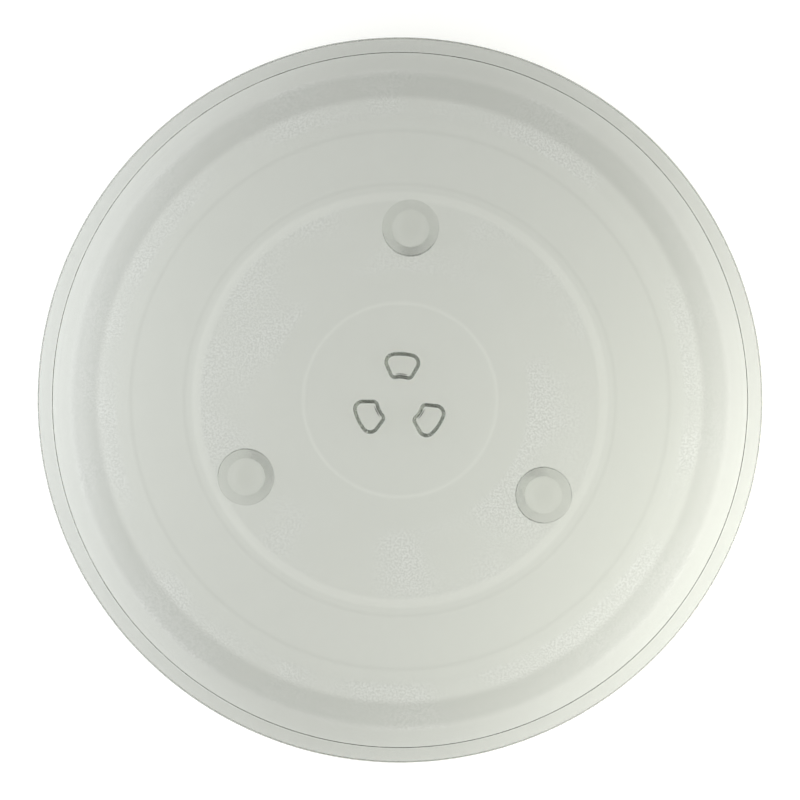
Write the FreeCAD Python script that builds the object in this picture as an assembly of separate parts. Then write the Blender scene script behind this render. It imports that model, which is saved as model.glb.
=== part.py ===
import FreeCAD, Part
import math
import os

# Microwave turntable plate: a shallow round dish pressed from clear glass in one piece.
# The underside carries three drive lugs round the spindle axis, which a three-armed
# coupler turns, three feet that the plate stands on when it is out of the oven,
# and a smooth shallow track that runs on the rollers.
# Millimetres. Z is the spindle axis, upwards, and Z = 0 is the plane the feet stand on.

# Section, from the outer edge inwards
PLATE_DIAMETER = 255.0
LIP_WIDTH = 5.6             # flat top land of the rim
LIP_FALL = 0.2              # the land drops this much towards the outer edge
EDGE_LAND = 2.0             # upright band round the outer edge
WALL_RUN = 5.3              # width of the inner wall, seen from above
FLARE_RUN = 6.8             # width of the rising edge of the floor, to its corner
FLARE_RISE = 1.8
OUTER_FLOOR_WIDTH = 8.0     # floor between that corner and the track's outer ramp
TRACK_WIDTH = 23.9          # level band that the rollers touch
TRACK_DEPTH = 0.8           # the track is sunk this deep into the underside
TRACK_RAMP = 3.0            # width of the slope at each side of the track
HUB_RADIUS = 32.4           # smooth disc that carries the lugs
HUB_DEPTH = 0.3             # the disc is sunk this deep into the underside
HUB_RAMP = 0.9

# Heights
FOOT_HEIGHT = 4.2           # underside of the floor above the standing plane
FLOOR_THICKNESS = 5.0
RIM_HEIGHT = 5.6            # lip above the floor's upper face

# Blends of the section. The mould's parting line leaves the edge band's lower corner
# crisp, and so are the shallow corners of the track and the hub disc.
FLARE_BLEND = 26.0          # on the upper face, and the underside keeps the thickness
WALL_FOOT_BLEND = 2.2
LIP_INNER_BLEND = 0.9
LIP_OUTER_BLEND = 1.5
CRISP = 0.0

# Drive lugs
LUG_COUNT = 3
FIRST_LUG_ANGLE = 90.0      # degrees from +X, and the first foot stands at the same angle
LUG_INNER_RADIUS = 7.6
LUG_OUTER_RADIUS = 17.0
LUG_HALF_ANGLE = 27.0       # each lug is a sector this wide to each side
LUG_GROUND_CLEARANCE = 1.5  # lug tips above the standing plane
LUG_DRAFT = 23.0            # degrees from upright
LUG_OUTER_CORNER = 3.4
LUG_INNER_CORNER = 2.2
LUG_TIP_BEVEL = 0.3
LUG_ROOT_BEVEL = 0.4

# Feet
FOOT_COUNT = 3
FOOT_BASE_RADIUS = 10.2
FOOT_TIP_RADIUS = 5.0
FOOT_EDGE_GAP = 0.7         # from a foot's base to the track's inner ramp
FOOT_TIP_SOFTENING = 1.5    # length of the soft edge of the tip, each side of its corner

SMALLEST_CORNER = 0.2
LONGEST_REACH = 0.49        # a blend takes at most this share of a side next to it

# Levels that follow from the heights
UNDERSIDE_Z = FOOT_HEIGHT
FLOOR_Z = UNDERSIDE_Z + FLOOR_THICKNESS
LIP_Z = FLOOR_Z + RIM_HEIGHT
TRACK_Z = UNDERSIDE_Z + TRACK_DEPTH
HUB_Z = UNDERSIDE_Z + HUB_DEPTH
ROOT_Z = (UNDERSIDE_Z + FLOOR_Z) / 2    # lugs and feet start inside the floor's glass

# Radii that follow from the widths
PLATE_RADIUS = PLATE_DIAMETER / 2
LIP_INNER_RADIUS = PLATE_RADIUS - LIP_WIDTH
WALL_FOOT_RADIUS = LIP_INNER_RADIUS - WALL_RUN
FLARE_START_RADIUS = WALL_FOOT_RADIUS - FLARE_RUN
TRACK_OUTER_RADIUS = FLARE_START_RADIUS - OUTER_FLOOR_WIDTH - TRACK_RAMP
TRACK_INNER_RADIUS = TRACK_OUTER_RADIUS - TRACK_WIDTH
CENTRE_FLOOR_RADIUS = TRACK_INNER_RADIUS - TRACK_RAMP
FOOT_CIRCLE_RADIUS = CENTRE_FLOOR_RADIUS - FOOT_EDGE_GAP - FOOT_BASE_RADIUS

AXIS = FreeCAD.Vector(0, 0, 1)
ORIGIN = FreeCAD.Vector(0, 0, 0)
FLAT_WITHIN = 0.001


def rounded_edges(corners):
    """Edges of a closed outline in the XZ plane: corners are (x, z, blend radius)."""
    points = [FreeCAD.Vector(x, 0, z) for x, z, _ in corners]
    count = len(points)
    entries, middles, exits = [], [], []
    for i, (_, _, blend) in enumerate(corners):
        corner = points[i]
        back = points[i - 1] - corner
        ahead = points[(i + 1) % count] - corner
        half_turn = (math.pi - back.getAngle(ahead)) / 2
        longest = LONGEST_REACH * min(back.Length, ahead.Length)
        reach = min(blend * math.tan(half_turn), longest)
        radius = reach / math.tan(half_turn)
        entries.append(corner + back.normalize() * reach)
        exits.append(corner + ahead.normalize() * reach)
        inwards = (back + ahead).normalize()
        middles.append(corner + inwards * (radius / math.cos(half_turn) - radius))
    edges = []
    for i in range(count):
        if corners[i][2] > 0:
            edges.append(Part.Arc(entries[i], middles[i], exits[i]).toShape())
        edges.append(Part.LineSegment(exits[i], entries[(i + 1) % count]).toShape())
    return edges


def mitre(x, z, angle_in, angle_out, thickness):
    """Corner of the underside beneath a corner of the upper face, square to both walls."""
    middle = (angle_in + angle_out) / 2
    reach = thickness / math.cos((angle_out - angle_in) / 2)
    return x + reach * math.sin(middle), z - reach * math.cos(middle)


def section_corners():
    """Corners of half the plate's section, up the axis and then round by the outside."""
    flare_angle = math.atan2(FLARE_RISE, FLARE_RUN)
    wall_angle = math.atan2(RIM_HEIGHT - FLARE_RISE, WALL_RUN)
    wall_foot_z = FLOOR_Z + FLARE_RISE
    under_flare = mitre(FLARE_START_RADIUS, FLOOR_Z, 0, flare_angle, FLOOR_THICKNESS)
    heel = mitre(WALL_FOOT_RADIUS, wall_foot_z, flare_angle, wall_angle, FLOOR_THICKNESS)
    return [
        (0, HUB_Z, CRISP),
        (HUB_RADIUS, HUB_Z, CRISP),
        (HUB_RADIUS + HUB_RAMP, UNDERSIDE_Z, CRISP),
        (CENTRE_FLOOR_RADIUS, UNDERSIDE_Z, CRISP),
        (TRACK_INNER_RADIUS, TRACK_Z, CRISP),
        (TRACK_OUTER_RADIUS, TRACK_Z, CRISP),
        (TRACK_OUTER_RADIUS + TRACK_RAMP, UNDERSIDE_Z, CRISP),
        (*under_flare, FLARE_BLEND + FLOOR_THICKNESS),
        (*heel, CRISP),
        (PLATE_RADIUS, LIP_Z - LIP_FALL - EDGE_LAND, CRISP),
        (PLATE_RADIUS, LIP_Z - LIP_FALL, LIP_OUTER_BLEND),
        (LIP_INNER_RADIUS, LIP_Z, LIP_INNER_BLEND),
        (WALL_FOOT_RADIUS, wall_foot_z, WALL_FOOT_BLEND),
        (FLARE_START_RADIUS, FLOOR_Z, FLARE_BLEND),
        (0, FLOOR_Z, CRISP),
    ]


def turned(edges):
    """Solid turned about Z from the edges of a closed outline in the XZ plane."""
    return Part.Face(Part.Wire(edges)).revolve(ORIGIN, AXIS, 360)


def polar(radius, angle, z):
    """Point at a radius and an angle in radians."""
    return FreeCAD.Vector(radius * math.cos(angle), radius * math.sin(angle), z)


def sector_corner(arc_radius, corner, side, inset, bulge):
    """Where a rounded corner leaves a lug's end arc, its middle, and where it meets the side.

    side is +1 or -1, inset moves the lug's side inwards, and bulge is +1 where the
    corner lies inside the end arc (the outer end) and -1 where it lies outside it.
    """
    centre_radius = arc_radius - bulge * corner
    slant = math.radians(LUG_HALF_ANGLE)
    off_side = inset + corner
    centre_angle = slant - math.asin(off_side / centre_radius)
    along = math.sqrt(centre_radius ** 2 - off_side ** 2)
    centre = polar(centre_radius, side * centre_angle, 0)
    on_arc = polar(arc_radius, side * centre_angle, 0)
    side_way = polar(1, side * slant, 0)
    inwards = polar(1, side * (slant - math.pi / 2), 0)
    on_side = side_way * along + inwards * inset
    middle = centre + ((on_arc - centre) + (on_side - centre)).normalize() * corner
    return on_arc, middle, on_side


def lug_outline(inset, z):
    """Closed outline of a lug along +X, drawn inwards by inset, at height z."""
    outer = LUG_OUTER_RADIUS - inset
    inner = LUG_INNER_RADIUS + inset
    outer_corner = max(LUG_OUTER_CORNER - inset, SMALLEST_CORNER)
    inner_corner = max(LUG_INNER_CORNER - inset, SMALLEST_CORNER)
    outer_left = sector_corner(outer, outer_corner, 1, inset, 1)
    outer_right = sector_corner(outer, outer_corner, -1, inset, 1)
    inner_left = sector_corner(inner, inner_corner, 1, inset, -1)
    inner_right = sector_corner(inner, inner_corner, -1, inset, -1)
    edges = [
        Part.Arc(outer_right[0], polar(outer, 0, 0), outer_left[0]),
        Part.Arc(*outer_left),
        Part.LineSegment(outer_left[2], inner_left[2]),
        Part.Arc(*reversed(inner_left)),
        Part.Arc(inner_left[0], polar(inner, 0, 0), inner_right[0]),
        Part.Arc(*inner_right),
        Part.LineSegment(inner_right[2], outer_right[2]),
        Part.Arc(*reversed(outer_right)),
    ]
    wire = Part.Wire([edge.toShape() for edge in edges])
    wire.translate(FreeCAD.Vector(0, 0, z))
    return wire


def drive_lug():
    """One lug along +X, its sides drafted from the hub disc to the tip."""
    slope = math.tan(math.radians(LUG_DRAFT))
    root = lug_outline((HUB_Z - ROOT_Z) * slope, ROOT_Z)
    tip = lug_outline((HUB_Z - LUG_GROUND_CLEARANCE) * slope, LUG_GROUND_CLEARANCE)
    lug = Part.makeLoft([root, tip], True, True)
    return lug.makeChamfer(LUG_TIP_BEVEL, edges_at(lug, LUG_GROUND_CLEARANCE))


def foot():
    """One foot, on the circle of feet along +X, its tip's edge softened by a curve."""
    spread = (FOOT_BASE_RADIUS - FOOT_TIP_RADIUS) / FOOT_HEIGHT
    corner = FreeCAD.Vector(FOOT_TIP_RADIUS, 0, 0)
    top = FreeCAD.Vector(FOOT_TIP_RADIUS + spread * ROOT_Z, 0, ROOT_Z)
    on_tip = corner - FreeCAD.Vector(FOOT_TIP_SOFTENING, 0, 0)
    on_flank = corner + (top - corner).normalize() * FOOT_TIP_SOFTENING
    soft_edge = Part.BezierCurve()
    soft_edge.setPoles([on_tip, corner, on_flank])
    centre = FreeCAD.Vector(0, 0, ROOT_Z)
    sides = [(ORIGIN, on_tip), (on_flank, top), (top, centre), (centre, ORIGIN)]
    edges = [Part.LineSegment(*side).toShape() for side in sides]
    solid = turned(edges[:1] + [soft_edge.toShape()] + edges[1:])
    solid.translate(FreeCAD.Vector(FOOT_CIRCLE_RADIUS, 0, 0))
    return solid


def edges_at(shape, z):
    """Edges of a shape that lie flat at height z."""
    return [
        edge for edge in shape.Edges
        if abs(edge.BoundBox.ZMin - z) < FLAT_WITHIN and abs(edge.BoundBox.ZMax - z) < FLAT_WITHIN
    ]


def ring_of(shape, count):
    """Equally spaced copies of a shape round Z, the first at the first lug's angle."""
    copies = []
    for i in range(count):
        copy = shape.copy()
        copy.rotate(ORIGIN, AXIS, FIRST_LUG_ANGLE + 360 / count * i)
        copies.append(copy)
    return copies


def root_edges(plate):
    """Edges round the roots of the lugs, on the hub disc."""
    roots = []
    for edge in edges_at(plate, HUB_Z):
        middle = edge.valueAt((edge.FirstParameter + edge.LastParameter) / 2)
        if math.hypot(middle.x, middle.y) < LUG_OUTER_RADIUS + FLAT_WITHIN:
            roots.append(edge)
    return roots


def turntable_plate():
    """The whole plate: the turned dish with its lugs and feet."""
    plate = turned(rounded_edges(section_corners()))
    plate = plate.fuse(ring_of(drive_lug(), LUG_COUNT) + ring_of(foot(), FOOT_COUNT))
    plate = plate.removeSplitter()
    return plate.makeChamfer(LUG_ROOT_BEVEL, root_edges(plate))


def main():
    """Build the plate, print its size and write its file."""
    os.makedirs("parts", exist_ok=True)
    plate = turntable_plate()
    box = plate.optimalBoundingBox(False)
    print(f"turntable_plate: {plate.ShapeType}, {len(plate.Solids)} solid, valid {plate.isValid()}")
    print(f"  {box.XLength:.2f} x {box.YLength:.2f} x {box.ZLength:.2f} mm, lowest {box.ZMin:.3f}")
    print(f"  {plate.Volume / 1000:.1f} cm3, roller circle radius "
          f"{(TRACK_INNER_RADIUS + TRACK_OUTER_RADIUS) / 2:.2f}, foot circle radius "
          f"{FOOT_CIRCLE_RADIUS:.2f}")
    plate.Solids[0].exportStep("parts/turntable_plate.step")


main()
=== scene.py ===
"""Microwave turntable plate of clear pressed glass, standing on its feet on a pale table."""

import logging
import math
from collections.abc import Callable, Sequence
from dataclasses import dataclass, field
from enum import Enum

import bmesh
import bpy
import numpy as np
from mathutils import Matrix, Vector
from mathutils.geometry import delaunay_2d_cdt


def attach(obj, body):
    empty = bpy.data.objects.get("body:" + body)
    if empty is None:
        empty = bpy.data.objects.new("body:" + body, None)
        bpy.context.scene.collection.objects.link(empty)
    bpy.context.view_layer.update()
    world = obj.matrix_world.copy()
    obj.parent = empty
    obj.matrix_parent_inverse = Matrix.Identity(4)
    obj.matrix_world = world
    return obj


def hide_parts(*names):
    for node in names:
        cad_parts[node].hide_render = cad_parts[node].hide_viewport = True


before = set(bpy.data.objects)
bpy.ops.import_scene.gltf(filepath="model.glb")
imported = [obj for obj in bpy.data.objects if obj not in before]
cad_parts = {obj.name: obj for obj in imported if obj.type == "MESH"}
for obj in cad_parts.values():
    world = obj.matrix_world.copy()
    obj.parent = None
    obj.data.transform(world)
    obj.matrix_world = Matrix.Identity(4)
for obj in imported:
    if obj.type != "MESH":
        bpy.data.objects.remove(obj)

MM = 0.001
BODY = "root"
NODE = "turntable_plate"
GLASS_SLOT = "pressed_glass"

log = logging.getLogger("turntable_plate")

Colour = tuple[float, float, float]
Step = tuple[float, float]
SocketValue = "Signal | float | tuple[float, ...]"


def opaque(colour: Colour) -> tuple[float, float, float, float]:
    """Return a colour with the full opacity that colour sockets ask for."""
    return (*colour, 1.0)


class Signal:
    """One output of a node. Arithmetic on it adds Math nodes beside that node."""

    def __init__(self, bench: "Bench", socket: bpy.types.NodeSocket) -> None:
        """Keep the socket and the bench that its node stands on."""
        self.bench = bench
        self.socket = socket

    def __add__(self, other: "Signal | float") -> "Signal":
        """Return this value plus another."""
        return self.bench.math("ADD", self, other)

    def __radd__(self, other: float) -> "Signal":
        """Return a number plus this value."""
        return self.bench.math("ADD", other, self)

    def __sub__(self, other: "Signal | float") -> "Signal":
        """Return this value less another."""
        return self.bench.math("SUBTRACT", self, other)

    def __rsub__(self, other: float) -> "Signal":
        """Return a number less this value."""
        return self.bench.math("SUBTRACT", other, self)

    def __mul__(self, other: "Signal | float") -> "Signal":
        """Return this value times another."""
        return self.bench.math("MULTIPLY", self, other)

    def __rmul__(self, other: float) -> "Signal":
        """Return a number times this value."""
        return self.bench.math("MULTIPLY", other, self)

    def larger(self, other: "Signal | float") -> "Signal":
        """Return the larger of this value and another."""
        return self.bench.math("MAXIMUM", self, other)

    def rise(self, low: float, high: float) -> "Signal":
        """Return 0 below low and 1 above high, with a smooth step between.

        Args:
            low: Value at which the step starts.
            high: Value at which the step ends.

        Returns:
            The step, from 0 to 1.
        """
        settings = {"interpolation_type": "SMOOTHSTEP"}
        sockets = {"Value": self, "From Min": low, "From Max": high}
        return self.bench.node("ShaderNodeMapRange", settings, sockets)

    def band(self, low: float, high: float, soft: float) -> "Signal":
        """Return 1 between low and high and 0 outside, with soft edges.

        Args:
            low: Lower edge of the band.
            high: Upper edge of the band.
            soft: Width over which each edge fades.

        Returns:
            The band's mask, from 0 to 1.
        """
        return self.rise(low, low + soft) * (1 - self.rise(high - soft, high))


class Bench:
    """The nodes of one material or world."""

    def __init__(self, tree: bpy.types.NodeTree) -> None:
        """Clear the tree, so that only this bench's nodes stand on it."""
        tree.nodes.clear()
        self.tree = tree

    def node(
        self,
        kind: str,
        settings: dict[str, object] | None = None,
        sockets: "dict[str | int, SocketValue] | None" = None,
        output: str | int = 0,
    ) -> Signal:
        """Add a node, set it up and feed its sockets.

        Args:
            kind: Blender's name for the node's type.
            settings: The node's own settings, which are made first.
            sockets: A value or a signal for each socket, by name or place.
            output: The output that is wanted, by name or place.

        Returns:
            The wanted output.
        """
        node = self.tree.nodes.new(kind)
        for name, value in (settings or {}).items():
            setattr(node, name, value)
        for name, value in (sockets or {}).items():
            if isinstance(value, Signal):
                self.tree.links.new(value.socket, node.inputs[name])
            else:
                node.inputs[name].default_value = value
        return Signal(self, node.outputs[output] if node.outputs else None)

    def math(self, operation: str, first: "Signal | float", second: "Signal | float") -> Signal:
        """Return what one Math node makes of two values."""
        return self.node("ShaderNodeMath", {"operation": operation}, {0: first, 1: second})

    def mix(self, share: "Signal | float", first: SocketValue, second: SocketValue) -> Signal:
        """Return a colour between two colours.

        Args:
            share: How much of the second colour there is, from 0 to 1.
            first: Colour at a share of 0.
            second: Colour at a share of 1.

        Returns:
            The mixed colour.
        """
        sockets = {0: share, 6: first, 7: second}
        return self.node("ShaderNodeMix", {"data_type": "RGBA"}, sockets, output=2)

    def noise(self, place: Signal, size: float, detail: float = 2.0) -> Signal:
        """Return soft random spots, from 0 to 1 and near a half on the whole.

        Args:
            place: Coordinates of the surface, in metres.
            size: Width of a spot, in metres.
            detail: How many finer octaves are added.

        Returns:
            The noise's value.
        """
        sockets = {"Vector": place, "Scale": 1 / size, "Detail": detail}
        return self.node("ShaderNodeTexNoise", None, sockets, output="Fac")

    def seen(self) -> Signal:
        """Tell what is looked at from what only lights something else.

        Returns:
            1 where a camera, mirror or glass ray looks, and 0 for all other rays.
        """
        rays = ["Is Camera Ray", "Is Glossy Ray", "Is Transmission Ray"]
        camera, mirror, glass = [self.node("ShaderNodeLightPath", output=ray) for ray in rays]
        return camera.larger(mirror).larger(glass)


@dataclass(frozen=True)
class Bands:
    """Stretches of a radius or of a height, in millimetres, whose edges fade softly."""

    spans: tuple[tuple[float, float], ...]
    soft: float

    def mask(self, measure: Signal) -> Signal:
        """Return 1 in any of the stretches and 0 elsewhere.

        Args:
            measure: The radius or the height, in metres.

        Returns:
            The mask, from 0 to 1.
        """
        soft = self.soft * MM
        first, *others = (measure.band(low * MM, high * MM, soft) for low, high in self.spans)
        return sum(others, first)


@dataclass(frozen=True)
class PressedGlass:
    """Finish of the plate: clear soda-lime glass with a faint grey-green tint.

    Lengths are in millimetres, radii are counted from the plate's axis, and each step gives
    the noise values between which a pattern sets in.
    """

    refraction: float = 1.52
    tint: Colour = (0.68, 0.69, 0.67)
    shade: Colour = (0.67, 0.685, 0.665)
    cloud: float = 60.0
    body: Colour = (0.86, 0.87, 0.85)
    body_depth: float = 45.0
    lamp_share: Colour = (0.95, 0.95, 0.935)

    inner_stipple: Bands = Bands(((44.0, 72.5),), 3.0)
    outer_stipple: Bands = Bands(((99.5, 118.5),), 2.0)
    underside: Bands = Bands(((3.8, 7.4),), 0.2)
    patch: float = 30.0
    patch_step: Step = (0.36, 0.68)
    speck: float = 0.7
    speck_step: Step = (0.38, 0.62)
    # Painted light and shade: light and dark specks in the stipple's tint stand in for the glints and
    # mottled caustics that its grain makes.
    painted_shade_speck: Colour = (0.61, 0.62, 0.61)
    painted_light_speck: Colour = (0.79, 0.80, 0.80)

    # Painted light and shade: lighter and darker rings of tint at the hub step and the track's ramps
    # stand in for the light that these slopes bend.
    painted_light_rings: Bands = Bands(((33.0, 35.5), (69.6, 74.4)), 1.6)
    painted_shade_rings: Bands = Bands(((75.0, 77.6), (93.8, 96.6)), 1.6)
    # Painted shade: a darker tint over the outer floor and over the rim holds down the lamp light
    # that reaches in under the rim.
    painted_floor_shade: Bands = Bands(((105.5, 117.0),), 3.0)
    rim: Bands = Bands(((113.0, 132.0),), 4.0)
    # Colours and shares of the painted light and shade rings and bands.
    painted_light_glass: Colour = (0.80, 0.81, 0.79)
    painted_shade_glass: Colour = (0.50, 0.51, 0.49)
    painted_light_share: float = 0.3
    painted_shade_share: float = 0.15
    # Shares of the painted shade over the outer floor and over the rim.
    painted_floor_shade_share: float = 0.5
    painted_rim_shade_share: float = 0.22

    smear: float = 9.0
    smear_step: Step = (0.35, 0.9)
    smear_haze: float = 0.006
    stipple_haze: float = 0.05
    ramps: Bands = Bands(((73.5, 79.0), (94.5, 101.5)), 1.5)
    ramp_haze: float = 0.14

    wave: float = 22.0
    wave_depth: float = 0.012
    grain: float = 0.55
    grain_depth: float = 0.05
    seam: Bands = Bands(((121.4, 123.0),), 0.5)
    nick: float = 1.3
    nick_depth: float = 0.12

    def material(self) -> bpy.types.Material:
        """Make the glass, stippled where the mould is stippled.

        Returns:
            The finished material.
        """
        material = bpy.data.materials.new(GLASS_SLOT)
        material.use_nodes = True
        bench = Bench(material.node_tree)
        place = bench.node("ShaderNodeTexCoord", output="Object")
        radius = self.radius(bench, place)
        stipple = self.stippled(bench, place, radius)
        glass = {
            "Base Color": self.tinted(bench, place, radius, stipple),
            "Roughness": self.hazed(bench, place, radius, stipple),
            "IOR": self.refraction,
            "Transmission Weight": 1.0,
            "Normal": self.surface(bench, place, radius, stipple),
        }
        pressed = bench.node("ShaderNodeBsdfPrincipled", None, glass)
        lamp = bench.node("ShaderNodeBsdfTransparent", None, {"Color": opaque(self.lamp_share)})
        shadow = bench.node("ShaderNodeLightPath", output="Is Shadow Ray")
        whole = bench.node("ShaderNodeMixShader", None, {0: shadow, 1: pressed, 2: lamp})
        body = {"Color": opaque(self.body), "Density": self.body_depth}
        deep = bench.node("ShaderNodeVolumeAbsorption", None, body)
        bench.node("ShaderNodeOutputMaterial", None, {"Surface": whole, "Volume": deep})
        return material

    def radius(self, bench: Bench, place: Signal) -> Signal:
        """Return how far each point lies from the plate's axis, in metres."""
        flat = bench.node("ShaderNodeVectorMath", {"operation": "MULTIPLY"}, {0: place, 1: (1, 1, 0)})
        return bench.node("ShaderNodeVectorMath", {"operation": "LENGTH"}, {0: flat}, output="Value")

    def stippled(self, bench: Bench, place: Signal, radius: Signal) -> Signal:
        """Find the two stippled rings of the underside, which show in patches.

        Args:
            bench: The material's nodes.
            place: Coordinates of the surface, in metres.
            radius: Distance from the axis, in metres.

        Returns:
            The mask of the stipple, from 0 to 1.
        """
        height = bench.node("ShaderNodeSeparateXYZ", None, {"Vector": place}, output="Z")
        rings = self.inner_stipple.mask(radius) + self.outer_stipple.mask(radius)
        patches = bench.noise(place, self.patch * MM).rise(*self.patch_step)
        return rings * self.underside.mask(height) * patches

    def tinted(self, bench: Bench, place: Signal, radius: Signal, stipple: Signal) -> Signal:
        """Tint the glass: cloudy as a whole, with painted light and shade in specks, rings and bands.

        Args:
            bench: The material's nodes.
            place: Coordinates of the surface, in metres.
            radius: Distance from the axis, in metres.
            stipple: The mask of the stipple.

        Returns:
            The colour that the glass gives to the light passing it, painted light and shade included.
        """
        clouds = bench.noise(place, self.cloud * MM)
        clear = bench.mix(clouds, opaque(self.tint), opaque(self.shade))
        # Painted light and shade specks over the stipple.
        painted_speck_mask = bench.noise(place, self.speck * MM, 1.0).rise(*self.speck_step)
        painted_speck_colour = bench.mix(painted_speck_mask, opaque(self.painted_shade_speck), opaque(self.painted_light_speck))
        ground = bench.mix(stipple, clear, painted_speck_colour)
        # Painted light rings, then painted shade rings.
        light = self.painted_light_rings.mask(radius) * self.painted_light_share
        raised = bench.mix(light, ground, opaque(self.painted_light_glass))
        painted_ring_shade = self.painted_shade_rings.mask(radius) * self.painted_shade_share
        # Painted shade over the outer floor and over the rim, added to the painted shade rings.
        painted_floor_shade_mask = self.painted_floor_shade.mask(radius) * self.painted_floor_shade_share
        rim = self.rim.mask(radius) * self.painted_rim_shade_share
        return bench.mix(painted_ring_shade + painted_floor_shade_mask + rim, raised, opaque(self.painted_shade_glass))

    def hazed(self, bench: Bench, place: Signal, radius: Signal, stipple: Signal) -> Signal:
        """Roughen the glass: a trace of smears, more in the stipple, most at the ramps.

        Args:
            bench: The material's nodes.
            place: Coordinates of the surface, in metres.
            radius: Distance from the axis, in metres.
            stipple: The mask of the stipple.

        Returns:
            The roughness.
        """
        smears = bench.noise(place, self.smear * MM).rise(*self.smear_step) * self.smear_haze
        ramps = self.ramps.mask(radius) * self.ramp_haze
        return smears + stipple * self.stipple_haze + ramps

    def surface(self, bench: Bench, place: Signal, radius: Signal, stipple: Signal) -> Signal:
        """Bump the glass: its slow waves, its stipple's grain and the nicked mould line.

        Args:
            bench: The material's nodes.
            place: Coordinates of the surface, in metres.
            radius: Distance from the axis, in metres.
            stipple: The mask of the stipple.

        Returns:
            The bumped normal.
        """
        wave = bench.noise(place, self.wave * MM, 0.0) * (self.wave_depth * MM)
        grain = bench.noise(place, self.grain * MM, 1.0) * stipple * (self.grain_depth * MM)
        nicks = bench.noise(place, self.nick * MM) * self.seam.mask(radius) * (self.nick_depth * MM)
        sockets = {"Strength": 1.0, "Distance": 1.0, "Height": wave + grain + nicks}
        return bench.node("ShaderNodeBump", None, sockets)


@dataclass(frozen=True)
class TableTop:
    """Finish of the table: matt white paint, which glows a little for what looks at it."""

    paint: Colour = (0.80, 0.80, 0.79)
    speckle: float = 4.0
    speckle_share: float = 0.985
    glow: float = 0.30

    def material(self) -> bpy.types.Material:
        """Make the table's paint, which looks white to the camera and through the glass.

        Returns:
            The finished material.
        """
        material = bpy.data.materials.new("white_table")
        material.use_nodes = True
        bench = Bench(material.node_tree)
        place = bench.node("ShaderNodeTexCoord", output="Object")
        darker = tuple(self.speckle_share * part for part in self.paint)
        speckles = bench.noise(place, self.speckle * MM)
        paint = bench.mix(speckles, opaque(self.paint), opaque(darker))
        matt = bench.node("ShaderNodeBsdfDiffuse", None, {"Color": paint})
        glow = bench.node("ShaderNodeEmission", None, {"Strength": self.glow})
        lit = bench.node("ShaderNodeAddShader", None, {0: matt, 1: glow})
        whole = bench.node("ShaderNodeMixShader", None, {0: bench.seen(), 1: matt, 2: lit})
        bench.node("ShaderNodeOutputMaterial", None, {"Surface": whole})
        return material


@dataclass(frozen=True)
class Bend:
    """A corner of an outline, in millimetres, and the radius that rounds it."""

    across: float
    height: float
    blend: float = 0.0


@dataclass(frozen=True)
class Station:
    """A point of a rounded outline and the way that the glass faces there."""

    across: float
    height: float
    out_across: float
    out_height: float


@dataclass(frozen=True)
class Outline:
    """Corners in order, with the glass on the left of the way along them.

    A rounded corner gets a point for each turn_step degrees, and takes no more than the
    share longest_reach of the shorter side beside it.
    """

    bends: Sequence[Bend]
    turn_step: float = 7.0
    longest_reach: float = 0.49

    def stations(self) -> list[Station]:
        """Return the points of the outline, its corners rounded.

        Returns:
            The points from the first corner to the last, with their facings.
        """
        corners = [Vector((bend.across, bend.height)) for bend in self.bends]
        ways = [(after - before).normalized() for before, after in zip(corners, corners[1:])]
        found = [self.facing(corners[0], ways[0])]
        for i in range(1, len(corners) - 1):
            found += self.round(corners, i, ways[i - 1], ways[i])
        return found + [self.facing(corners[-1], ways[-1])]

    def round(
        self, corners: Sequence[Vector], i: int, way_in: Vector, way_out: Vector
    ) -> list[Station]:
        """Round one corner.

        Args:
            corners: All corners of the outline.
            i: Place of this corner among them.
            way_in: Direction of the side before it.
            way_out: Direction of the side after it.

        Returns:
            The points of the rounded corner.
        """
        turn = math.atan2(way_in.x * way_out.y - way_in.y * way_out.x, way_in.dot(way_out))
        before = (corners[i] - corners[i - 1]).length
        after = (corners[i + 1] - corners[i]).length
        reach = self.bends[i].blend * math.tan(abs(turn) / 2)
        reach = min(reach, self.longest_reach * min(before, after))
        radius = math.copysign(reach / math.tan(abs(turn) / 2), turn)
        start = corners[i] - way_in * reach
        centre = start + Vector((-way_in.y, way_in.x)) * radius
        steps = max(2, math.ceil(math.degrees(abs(turn)) / self.turn_step))
        found = []
        for k in range(steps + 1):
            angle = math.atan2(way_in.y, way_in.x) + turn * k / steps
            way = Vector((math.cos(angle), math.sin(angle)))
            found.append(self.facing(centre + Vector((way.y, -way.x)) * radius, way))
        return found

    @staticmethod
    def facing(point: Vector, way: Vector) -> Station:
        """Return a station at a point that the outline passes in a direction."""
        return Station(point.x, point.y, way.y, -way.x)


@dataclass(frozen=True)
class Contour:
    """A closed line seen from above, and the way that each of its points faces."""

    base: np.ndarray
    facing: np.ndarray

    @staticmethod
    def circle(count: int, centre: tuple[float, float] = (0.0, 0.0)) -> "Contour":
        """Return a circle that has no width until an outline gives it one.

        Args:
            count: Number of points round it.
            centre: Its centre, in millimetres.

        Returns:
            The circle's contour.
        """
        angle = np.arange(count) * (2 * math.pi / count)
        facing = np.stack([np.cos(angle), np.sin(angle)], axis=1)
        return Contour(np.tile(np.array(centre), (count, 1)), facing)

    def turned(self, angle: float) -> "Contour":
        """Return the contour turned about the plate's axis, by an angle in radians."""
        spin = np.array([[math.cos(angle), -math.sin(angle)], [math.sin(angle), math.cos(angle)]])
        return Contour(self.base @ spin.T, self.facing @ spin.T)

    def loop(self, station: Station) -> tuple[np.ndarray, np.ndarray]:
        """Put the contour at one station of an outline.

        Args:
            station: How far out and how high the loop is, and how it faces.

        Returns:
            The points and the normals of the loop.
        """
        count = len(self.base)
        points = np.column_stack(
            [self.base + self.facing * station.across, np.full(count, station.height)]
        )
        normals = np.column_stack(
            [self.facing * station.out_across, np.full(count, station.out_height)]
        )
        return points, normals


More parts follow.
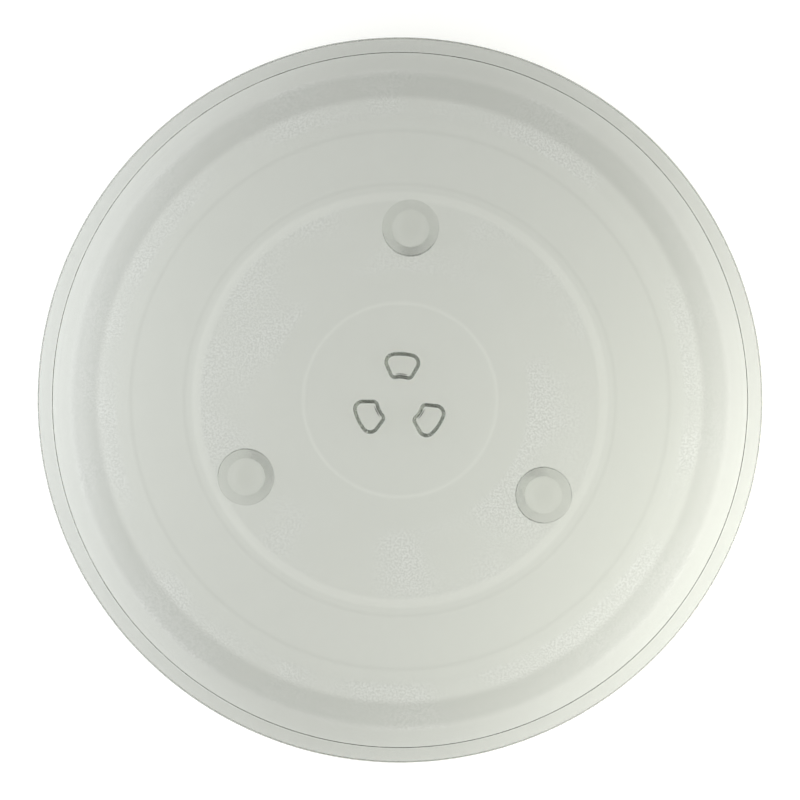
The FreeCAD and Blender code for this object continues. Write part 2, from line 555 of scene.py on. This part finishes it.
class Skin:
    """The closed surface of the glass while it is put together, in millimetres."""

    closeness = 1e-7

    def __init__(self) -> None:
        """Start with no points and no faces."""
        self.points: list[tuple[float, float, float]] = []
        self.normals: list[tuple[float, float, float] | None] = []
        self.faces: list[tuple[int, ...]] = []

    def place(self, points: np.ndarray, normals: np.ndarray | None) -> list[int]:
        """Add points.

        Args:
            points: Their coordinates.
            normals: Their normals, or None where the faces round them give these.

        Returns:
            The new points' numbers.
        """
        first = len(self.points)
        self.points += [tuple(point) for point in points.tolist()]
        if normals is None:
            self.normals += [None] * len(points)
        else:
            self.normals += [tuple(normal) for normal in normals.tolist()]
        return list(range(first, len(self.points)))

    def ring(self, contour: Contour, station: Station) -> list[int]:
        """Add one loop and return its points' numbers."""
        return self.place(*contour.loop(station))

    def sweep(self, contour: Contour, stations: Sequence[Station]) -> tuple[list[int], list[int]]:
        """Add a band of faces that follows an outline.

        Args:
            contour: The line that the outline is carried round.
            stations: The outline's points in order.

        Returns:
            The first and the last loop of the band.
        """
        rings = [self.ring(contour, station) for station in stations]
        for low, high in zip(rings, rings[1:]):
            self.band(low, high)
        return rings[0], rings[-1]

    def band(self, low: Sequence[int], high: Sequence[int]) -> None:
        """Join two loops with a band of faces.

        Args:
            low: Points of the first loop.
            high: Points of the next loop, as many as in the first.
        """
        count = len(low)
        for i in range(count):
            k = (i + 1) % count
            self.faces.append((low[i], low[k], high[k], high[i]))

    def cap(self, ring: Sequence[int], height: float, facing: float) -> None:
        """Close a loop round the plate's axis with a fan.

        Args:
            ring: The loop's points.
            height: Height of the fan's middle.
            facing: 1 where the fan faces up, and -1 where it faces down.
        """
        middle = self.place(np.array([[0.0, 0.0, height]]), np.array([[0.0, 0.0, facing]]))[0]
        for i, point in enumerate(ring):
            self.faces.append((point, ring[(i + 1) % len(ring)], middle))

    def sheet(
        self, rim: Sequence[int], holes: Sequence[Sequence[int]], loose: Sequence[int] = ()
    ) -> None:
        """Fill the space between a rim and the holes in it with triangles.

        Args:
            rim: The loop that bounds the sheet, which is convex from above.
            holes: The loops inside it that stay open.
            loose: Points inside it that the triangles use as well.
        """
        loops = [rim, *holes]
        numbers = [number for loop in loops for number in loop] + list(loose)
        flat = [Vector(self.points[number][:2]) for number in numbers]
        edges = []
        start = 0
        for loop in loops:
            count = len(loop)
            edges += [(start + i, start + (i + 1) % count) for i in range(count)]
            start += count
        found = delaunay_2d_cdt(flat, edges, [], 0, self.closeness, True)
        places = np.array([tuple(place) for place in found[0]])
        triangles = np.array(found[2])
        middles = places[triangles].mean(axis=1)
        kept = np.ones(len(triangles), bool)
        for hole in holes:
            kept &= ~inside(middles, np.array([self.points[number][:2] for number in hole]))
        origins = [numbers[which[0]] for which in found[3]]
        self.faces += [tuple(origins[corner] for corner in face) for face in triangles[kept]]

    def mesh(self, name: str) -> bpy.types.Mesh:
        """Return the surface as a mesh in metres, smooth, its faces turned outwards.

        Args:
            name: The mesh's name.

        Returns:
            The finished mesh.
        """
        mesh = bpy.data.meshes.new(name)
        points = np.array(self.points) * MM
        mesh.from_pydata(points.tolist(), [], self.faces)
        work = bmesh.new()
        work.from_mesh(mesh)
        bmesh.ops.triangulate(work, faces=work.faces[:])
        bmesh.ops.recalc_face_normals(work, faces=work.faces[:])
        open_edges = sum(not edge.is_manifold for edge in work.edges)
        work.to_mesh(mesh)
        work.free()
        mesh.polygons.foreach_set("use_smooth", [True] * len(mesh.polygons))
        mesh.update()
        facings = np.zeros(len(mesh.vertices) * 3)
        mesh.vertices.foreach_get("normal", facings)
        facings = facings.reshape(-1, 3)
        for i, normal in enumerate(self.normals):
            if normal is not None:
                facings[i] = normal
        mesh.normals_split_custom_set_from_vertices(facings.tolist())
        log.info("%s: %d triangles, %d open edges", name, len(mesh.polygons), open_edges)
        return mesh


def inside(points: np.ndarray, loop: np.ndarray) -> np.ndarray:
    """Tell which points lie inside a closed loop, seen from above.

    Args:
        points: The points that are asked about.
        loop: The loop's corners in order.

    Returns:
        One truth value for each point.
    """
    within = np.zeros(len(points), bool)
    x, y = points[:, 0], points[:, 1]
    for (ax, ay), (bx, by) in zip(loop, np.roll(loop, -1, axis=0)):
        crossed = (ay > y) != (by > y)
        slope = (bx - ax) / (by - ay) if by != ay else 0.0
        within ^= crossed & (x < ax + (y - ay) * slope)
    return within


@dataclass(frozen=True)
class DishSection:
    """Section of the dish, in millimetres from the axis and from the table.

    Each strip of the underside reaches an apron past its last corner, where a sheet of
    triangles takes over. sheet_end is the radius at which the last of them ends.
    """

    plate_radius: float = 127.5
    lip_width: float = 5.6
    lip_fall: float = 0.2
    edge_land: float = 2.0
    wall_run: float = 5.3
    flare_run: float = 6.8
    flare_rise: float = 1.8
    outer_floor_width: float = 8.0
    track_width: float = 23.9
    track_depth: float = 0.8
    track_ramp: float = 3.0
    hub_radius: float = 32.4
    hub_depth: float = 0.3
    hub_ramp: float = 0.9
    underside: float = 4.2
    thickness: float = 5.0
    rim_height: float = 5.6
    flare_blend: float = 26.0
    wall_foot_blend: float = 2.2
    lip_inner_blend: float = 0.9
    lip_outer_blend: float = 1.5
    ramp_blend: float = 5.0
    hub_blend: float = 1.5
    heel_blend: float = 1.2
    parting_blend: float = 0.35
    seam_width: float = 0.35
    seam_depth: float = 0.28
    apron: float = 0.45
    sheet_end: float = 118.4

    @property
    def floor_height(self) -> float:
        """Height of the upper face."""
        return self.underside + self.thickness

    @property
    def lip_height(self) -> float:
        """Height of the rim's highest edge."""
        return self.floor_height + self.rim_height

    @property
    def hub_height(self) -> float:
        """Height of the smooth disc under the middle."""
        return self.underside + self.hub_depth

    @property
    def lip_inner_radius(self) -> float:
        """Radius of the lip's inner edge."""
        return self.plate_radius - self.lip_width

    @property
    def wall_foot_radius(self) -> float:
        """Radius at which the wall leaves the floor."""
        return self.lip_inner_radius - self.wall_run

    @property
    def flare_start_radius(self) -> float:
        """Radius at which the floor starts to rise."""
        return self.wall_foot_radius - self.flare_run

    @property
    def track_outer_radius(self) -> float:
        """Radius of the level track's outer side."""
        return self.flare_start_radius - self.outer_floor_width - self.track_ramp

    @property
    def track_inner_radius(self) -> float:
        """Radius of the level track's inner side."""
        return self.track_outer_radius - self.track_width

    @property
    def centre_radius(self) -> float:
        """Radius at which the inner ramp of the track starts."""
        return self.track_inner_radius - self.track_ramp

    def mitre(self, across: float, height: float, angle_in: float, angle_out: float) -> Bend:
        """Find the corner of the underside beneath a corner of the upper face.

        Args:
            across: Radius of the upper corner.
            height: Height of the upper corner.
            angle_in: Slope of the face before it, in radians.
            angle_out: Slope of the face after it, in radians.

        Returns:
            The lower corner, square to both faces.
        """
        middle = (angle_in + angle_out) / 2
        reach = self.thickness / math.cos((angle_out - angle_in) / 2)
        return Bend(across + reach * math.sin(middle), height - reach * math.cos(middle))

    def hub_step(self) -> Outline:
        """Draw the low step between the hub disc and the centre floor.

        Returns:
            The step's outline, outwards.
        """
        return Outline([
            Bend(self.hub_radius - self.apron, self.hub_height),
            Bend(self.hub_radius, self.hub_height, self.hub_blend),
            Bend(self.hub_radius + self.hub_ramp, self.underside, self.hub_blend),
            Bend(self.hub_radius + self.hub_ramp + self.apron, self.underside),
        ])

    def track(self) -> Outline:
        """Draw the roller track with a ramp at each side.

        Returns:
            The track's outline, outwards.
        """
        high = self.underside + self.track_depth
        ramp_end = self.track_outer_radius + self.track_ramp
        return Outline([
            Bend(self.centre_radius - self.apron, self.underside),
            Bend(self.centre_radius, self.underside, self.ramp_blend),
            Bend(self.track_inner_radius, high, self.ramp_blend),
            Bend(self.track_outer_radius, high, self.ramp_blend),
            Bend(ramp_end, self.underside, self.ramp_blend),
            Bend(ramp_end + self.apron, self.underside),
        ])

    def corners_below(self) -> tuple[Bend, Bend]:
        """Find the underside's corners beneath the flare and beneath the wall's foot.

        Returns:
            The corner beneath the flare's start and the heel beneath the wall's foot.
        """
        flare_angle = math.atan2(self.flare_rise, self.flare_run)
        wall_angle = math.atan2(self.rim_height - self.flare_rise, self.wall_run)
        foot_height = self.floor_height + self.flare_rise
        flare = self.mitre(self.flare_start_radius, self.floor_height, 0, flare_angle)
        heel = self.mitre(self.wall_foot_radius, foot_height, flare_angle, wall_angle)
        return flare, heel

    def outer_floor(self) -> Outline:
        """Draw the underside from the track's outer ramp to just before the heel.

        Returns:
            The outer floor's outline, outwards.
        """
        flare, heel = self.corners_below()
        share = (self.sheet_end - flare.across) / (heel.across - flare.across)
        end_height = flare.height + share * (heel.height - flare.height)
        start = self.track_outer_radius + self.track_ramp + self.apron
        return Outline([
            Bend(start, self.underside),
            Bend(flare.across, flare.height, self.flare_blend + self.thickness),
            Bend(self.sheet_end, end_height),
        ], turn_step=1.0)

    def rim(self) -> Outline:
        """Draw the section from the heel round the rim and in over the floor.

        Returns:
            The rim's outline, which ends above the hub's edge.
        """
        _, heel = self.corners_below()
        start = self.outer_floor().bends[-1]
        edge_top = self.lip_height - self.lip_fall
        foot_height = self.floor_height + self.flare_rise
        seam = self.lip_inner_radius + self.seam_width
        slant = self.lip_fall * 2 * self.seam_width / self.lip_width
        return Outline([
            start,
            Bend(heel.across, heel.height, self.heel_blend),
            Bend(self.plate_radius, edge_top - self.edge_land, self.parting_blend),
            Bend(self.plate_radius, edge_top, self.lip_outer_blend),
            Bend(seam + self.seam_width, self.lip_height - slant),
            Bend(seam, self.lip_height - self.seam_depth),
            Bend(self.lip_inner_radius, self.lip_height, self.lip_inner_blend),
            Bend(self.wall_foot_radius, foot_height, self.wall_foot_blend),
            Bend(self.flare_start_radius, self.floor_height, self.flare_blend),
            Bend(self.hub_radius, self.floor_height),
        ])


@dataclass(frozen=True)
class DriveLug:
    """One of the three lugs that the coupler turns: a drafted, rounded sector.

    Lengths are in millimetres and angles in degrees. step is the length of a facet.
    """

    inner_radius: float = 7.6
    outer_radius: float = 17.0
    half_angle: float = 27.0
    tip_height: float = 1.5
    draft: float = 23.0
    outer_corner: float = 3.4
    inner_corner: float = 2.2
    tip_blend: float = 0.5
    root_blend: float = 0.6
    apron: float = 1.3
    step: float = 0.35

    def contour(self) -> Contour:
        """Return the lug's outline along +X where it meets the hub disc.

        Returns:
            The outline's points and facings, counter-clockwise.
        """
        slant = math.radians(self.half_angle)
        base: list[tuple[float, float]] = []
        facing: list[tuple[float, float]] = []
        outer_angle, outer_at = self.corner(self.outer_radius, self.outer_corner, 1)
        inner_angle, inner_at = self.corner(self.inner_radius, self.inner_corner, -1)

        def arc(centre: Vector, radius: float, start: float, end: float, way: int) -> None:
            """Add the points of an arc.

            Args:
                centre: The arc's centre.
                radius: Its radius.
                start: Angle of its first point, in radians.
                end: Angle at which the next piece of the outline starts.
                way: 1 where the arc faces away from its centre, and -1 where it faces it.
            """
            steps = max(2, math.ceil(abs(end - start) * radius / self.step))
            for k in range(steps):
                angle = start + (end - start) * k / steps
                out = Vector((math.cos(angle), math.sin(angle)))
                base.append(tuple(centre + out * radius))
                facing.append(tuple(out * way))

        def side(start: Vector, end: Vector, out: Vector) -> None:
            """Add the points of a straight side.

            Args:
                start: Its first point.
                end: Where the next piece of the outline starts.
                out: The way that the side faces.
            """
            steps = max(2, math.ceil((end - start).length / self.step))
            for k in range(steps):
                base.append(tuple(start.lerp(end, k / steps)))
                facing.append(tuple(out))

        origin = Vector((0.0, 0.0))
        half_turn = math.pi / 2
        out_left = Vector((math.cos(slant + half_turn), math.sin(slant + half_turn)))
        out_right = Vector((out_left.x, -out_left.y))
        outer_mirror = Vector((outer_at.x, -outer_at.y))
        inner_mirror = Vector((inner_at.x, -inner_at.y))
        big, small = self.outer_corner, self.inner_corner
        arc(origin, self.outer_radius, -outer_angle, outer_angle, 1)
        arc(outer_at, big, outer_angle, slant + half_turn, 1)
        side(outer_at + out_left * big, inner_at + out_left * small, out_left)
        arc(inner_at, small, slant + half_turn, inner_angle + math.pi, 1)
        arc(origin, self.inner_radius, inner_angle, -inner_angle, -1)
        arc(inner_mirror, small, math.pi - inner_angle, 3 * half_turn - slant, 1)
        side(inner_mirror + out_right * small, outer_mirror + out_right * big, out_right)
        arc(outer_mirror, big, 3 * half_turn - slant, 4 * half_turn - outer_angle, 1)
        return Contour(np.array(base), np.array(facing))

    def corner(self, arc_radius: float, corner: float, bulge: int) -> tuple[float, Vector]:
        """Find the centre of a rounded corner on the left side.

        Args:
            arc_radius: Radius of the end that the corner joins.
            corner: Radius of the corner.
            bulge: 1 at the outer end and -1 at the inner end.

        Returns:
            The angle of the centre and the centre itself.
        """
        centre_radius = arc_radius - bulge * corner
        angle = math.radians(self.half_angle) - math.asin(corner / centre_radius)
        return angle, Vector((math.cos(angle), math.sin(angle))) * centre_radius

    def outline(self, root_height: float) -> Outline:
        """Return the flank's outline from the tip face to the disc round the root.

        Args:
            root_height: Height of the disc that the lug stands on.

        Returns:
            The outline, its distances counted outwards from the contour.
        """
        lean = (root_height - self.tip_height) * math.tan(math.radians(self.draft))
        return Outline([
            Bend(-lean - self.tip_blend, self.tip_height),
            Bend(-lean, self.tip_height, self.tip_blend),
            Bend(0.0, root_height, self.root_blend),
            Bend(self.apron, root_height),
        ], turn_step=8.0)


@dataclass(frozen=True)
class RestFoot:
    """One of the three round feet that the plate stands on, in millimetres."""

    circle_radius: float = 61.0
    base_radius: float = 10.2
    tip_radius: float = 5.0
    tip_blend: float = 6.5
    crown_edge: float = 4.7
    root_blend: float = 0.3
    apron: float = 0.14
    points: int = 96

    def contour(self) -> Contour:
        """Return the foot's circle along +X."""
        return Contour.circle(self.points, (self.circle_radius, 0.0))

    def outline(self, root_height: float) -> Outline:
        """Return the flank's outline from the crown to the floor round the root.

        Args:
            root_height: Height of the underside that the foot stands on.

        Returns:
            The outline, its distances counted from the foot's own axis.
        """
        return Outline([
            Bend(self.tip_radius - self.crown_edge, 0.0),
            Bend(self.tip_radius, 0.0, self.tip_blend),
            Bend(self.base_radius, root_height, self.root_blend),
            Bend(self.base_radius + self.apron, root_height),
        ], turn_step=4.0)


@dataclass(frozen=True)
class Stipple:
    """Fine random relief that the mould leaves on a ring of the underside, in millimetres."""

    inner: float
    outer: float
    seed: int
    fade: float = 2.5
    depth: float = 0.11
    spacing: float = 0.85
    jitter: float = 0.28
    clear: float = 0.55

    def scatter(self) -> np.ndarray:
        """Return loose points over the ring, on a shaken honeycomb.

        Returns:
            Their places from above, in millimetres.
        """
        chance = np.random.RandomState(self.seed)
        row_height = self.spacing * math.sqrt(3) / 2
        rows = int(self.outer / row_height) + 1
        columns = int(self.outer / self.spacing) + 1
        row, column = np.mgrid[-rows:rows + 1, -columns:columns + 1]
        x = (column + 0.5 * (row % 2)) * self.spacing
        y = row * row_height
        places = np.column_stack([x.ravel(), y.ravel()]).astype(float)
        places += chance.uniform(-self.jitter, self.jitter, places.shape) * self.spacing
        radius = np.hypot(*places.T)
        return places[(radius > self.inner + self.clear) & (radius < self.outer - self.clear)]

    def relief(self, places: np.ndarray) -> np.ndarray:
        """Tell how far the mould's grain stands out of the smooth surface.

        Args:
            places: Places from above, in millimetres.

        Returns:
            The grain's height at each place, in millimetres.
        """
        chance = np.random.RandomState(self.seed + 1)
        radius = np.hypot(*places.T)
        edge = np.minimum(radius - self.inner, self.outer - radius) / self.fade
        return chance.uniform(-1, 1, len(places)) * self.depth * np.clip(edge, 0, 1)


@dataclass
class TurntablePlate:
    """The whole plate: the dish with its lugs, feet and stippled underside."""

    section: DishSection = field(default_factory=DishSection)
    lug: DriveLug = field(default_factory=DriveLug)
    foot: RestFoot = field(default_factory=RestFoot)
    finish: PressedGlass = field(default_factory=PressedGlass)
    inner_stipple: Stipple = Stipple(inner=44.0, outer=70.7, seed=11)
    outer_stipple: Stipple = Stipple(inner=103.0, outer=118.4, seed=23)
    segments: int = 384
    first_angle: float = 90.0
    count: int = 3

    def build(self) -> bpy.types.Object:
        """Build the plate's one mesh and dress it.

        Returns:
            The finished plate, which stands for the CAD solid.
        """
        skin = Skin()
        circle = Contour.circle(self.segments)
        hub_rim, centre_hole = skin.sweep(circle, self.section.hub_step().stations())
        centre_rim, outer_hole = skin.sweep(circle, self.section.track().stations())
        sheet_rim, top_ring = skin.sweep(circle, self.section.rim().stations())
        skin.cap(top_ring, self.section.floor_height, 1.0)
        lugs = self.raised(skin, self.lug.contour(), self.lug.outline(self.section.hub_height))
        feet = self.raised(skin, self.foot.contour(), self.foot.outline(self.section.underside))
        skin.sheet(hub_rim, lugs)
        centre = self.stippled(skin, self.inner_stipple, feet, lambda r: self.section.underside)
        skin.sheet(centre_rim, [centre_hole, *feet], centre)
        outer = self.stippled(skin, self.outer_stipple, [], self.outer_height())
        skin.sheet(sheet_rim, [outer_hole], outer)
        plate = bpy.data.objects.new("glass_plate", skin.mesh("glass_plate"))
        bpy.context.scene.collection.objects.link(plate)
        plate.data.materials.append(self.finish.material())
        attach(plate, BODY)
        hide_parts(NODE)
        return plate

    def raised(self, skin: Skin, contour: Contour, outline: Outline) -> list[list[int]]:
        """Add the lugs or the feet, equally spaced round the axis.

        Args:
            skin: The surface that they join.
            contour: Outline of one of them from above, along +X.
            outline: Outline of its flank, from the tip to the root.

        Returns:
            The loop round each root.
        """
        roots = []
        stations = outline.stations()
        for i in range(self.count):
            angle = math.radians(self.first_angle + 360 / self.count * i)
            tip, root = skin.sweep(contour.turned(angle), stations)
            skin.sheet(tip, [])
            roots.append(root)
        return roots

    def outer_height(self) -> Callable[[np.ndarray], np.ndarray]:
        """Measure the outer floor's underside.

        Returns:
            A function that gives its smooth height at a radius.
        """
        stations = self.section.outer_floor().stations()
        across = [station.across for station in stations]
        heights = [station.height for station in stations]
        return lambda radius: np.interp(radius, across, heights)

    def stippled(
        self,
        skin: Skin,
        stipple: Stipple,
        holes: Sequence[Sequence[int]],
        height: Callable[[np.ndarray], np.ndarray],
    ) -> list[int]:
        """Add the loose points of a stippled ring.

        Args:
            skin: The surface that they join.
            stipple: The ring and its relief.
            holes: Loops that the points stay out of.
            height: The smooth surface's height at each radius.

        Returns:
            The points' numbers.
        """
        places = stipple.scatter()
        for hole in holes:
            loop = np.array([skin.points[number][:2] for number in hole])
            middle = loop.mean(axis=0)
            grown = middle + (loop - middle) * (1 + stipple.clear / np.hypot(*(loop[0] - middle)))
            places = places[~inside(places, grown)]
        level = height(np.hypot(*places.T)) + stipple.relief(places)
        return skin.place(np.column_stack([places, level]), None)


class Softbox(Enum):
    """The soft lamps: place and size in metres, power in watts, and colour."""

    LEFT = ((-0.29, 0.0, 0.09), (0.40, 0.13), 0.88, (0.96, 0.98, 1.0))
    RIGHT = ((0.28, -0.10, 0.09), (0.40, 0.13), 1.45, (1.0, 0.995, 0.90))

    @property
    def place(self) -> Vector:
        """Return where the lamp hangs."""
        return Vector(self.value[0])

    @property
    def face(self) -> tuple[float, float]:
        """Return the width and the height of the lamp's face."""
        return self.value[1]

    @property
    def power(self) -> float:
        """Return the lamp's power."""
        return self.value[2]

    @property
    def colour(self) -> Colour:
        """Return the colour of the lamp's light."""
        return self.value[3]


@dataclass(frozen=True)
class Studio:
    """The table, the lamps, the room and the camera.

    The table's size is in metres. The frame's width, the height that it is measured at and
    the gap under the feet are in millimetres. Each edge gives how far a direction has to
    point to a wall or up before that part of the room starts to shine, and shines fully.
    """

    table: TableTop = field(default_factory=TableTop)
    table_size: float = 8.0
    lens: float = 150.0
    sensor: float = 36.0
    frame_width: float = 280.2
    roll: float = 3.5
    aim_height: float = 18.0
    table_gap: float = 0.1
    bounces: int = 48
    fill_right: float = 1.0
    fill_left: float = 0.5
    fill_above: float = 0.5
    fill_rest: float = 0.03
    wall_edge: Step = (0.1, 0.6)
    ceiling_edge: Step = (0.4, 0.9)

    def build(self) -> None:
        """Set up everything round the plate."""
        scene = bpy.context.scene
        scene.view_settings.view_transform = "Standard"
        scene.cycles.max_bounces = self.bounces
        scene.cycles.glossy_bounces = self.bounces
        scene.cycles.transmission_bounces = self.bounces
        self.lay_table()
        for softbox in Softbox:
            self.hang(softbox)
        self.fill()
        self.aim()

    def lay_table(self) -> None:
        """Lay the table under the feet."""
        half = self.table_size / 2
        top = -self.table_gap * MM
        corners = [(-half, -half, top), (half, -half, top), (half, half, top), (-half, half, top)]
        mesh = bpy.data.meshes.new("table")
        mesh.from_pydata(corners, [], [(0, 1, 2, 3)])
        table = bpy.data.objects.new("table", mesh)
        table.data.materials.append(self.table.material())
        bpy.context.scene.collection.objects.link(table)

    def hang(self, softbox: Softbox) -> None:
        """Hang one soft lamp, turned to the plate.

        Args:
            softbox: Which lamp it is.
        """
        lamp = bpy.data.lights.new(f"softbox_{softbox.name.lower()}", "AREA")
        lamp.shape = "ELLIPSE"
        lamp.size, lamp.size_y = softbox.face
        lamp.energy = softbox.power
        lamp.color = softbox.colour
        box = bpy.data.objects.new(lamp.name, lamp)
        box.location = softbox.place
        box.rotation_euler = (-softbox.place).to_track_quat("-Z", "Y").to_euler()
        box.visible_camera = False
        box.visible_glossy = False
        box.visible_transmission = False
        bpy.context.scene.collection.objects.link(box)

    def fill(self) -> None:
        """Give the room its soft fill, and a white wall behind whatever looks past the table."""
        world = bpy.data.worlds.new("studio_room")
        world.use_nodes = True
        bpy.context.scene.world = world
        bench = Bench(world.node_tree)
        place = bench.node("ShaderNodeTexCoord", output="Generated")
        side = bench.node("ShaderNodeSeparateXYZ", None, {"Vector": place}, output="X")
        height = bench.node("ShaderNodeSeparateXYZ", None, {"Vector": place}, output="Z")
        right = side.rise(*self.wall_edge) * self.fill_right
        left = (side * -1).rise(*self.wall_edge) * self.fill_left
        ceiling = height.rise(*self.ceiling_edge) * self.fill_above
        walls = right + left + ceiling + self.fill_rest
        camera = bench.node("ShaderNodeLightPath", output="Is Camera Ray")
        strength = camera.larger(walls)
        room = bench.node("ShaderNodeBackground", None, {"Strength": strength})
        bench.node("ShaderNodeOutputWorld", None, {"Surface": room})

    def aim(self) -> None:
        """Hang the camera straight above the plate, turned as the photograph is."""
        data = bpy.data.cameras.new("camera")
        data.lens = self.lens
        data.sensor_width = self.sensor
        camera = bpy.data.objects.new("camera", data)
        distance = self.frame_width * MM * self.lens / self.sensor
        camera.location = (0, 0, self.aim_height * MM + distance)
        camera.rotation_euler = (0, 0, math.radians(self.roll))
        bpy.context.scene.collection.objects.link(camera)
        bpy.context.scene.camera = camera


def main() -> None:
    """Build the plate and the studio."""
    logging.basicConfig(level=logging.INFO, format="%(name)s: %(message)s")
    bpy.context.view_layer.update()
    plate = TurntablePlate().build()
    log.info("%s is dressed in %s", plate.name, GLASS_SLOT)
    Studio().build()


if __name__ == "__main__":
    main()
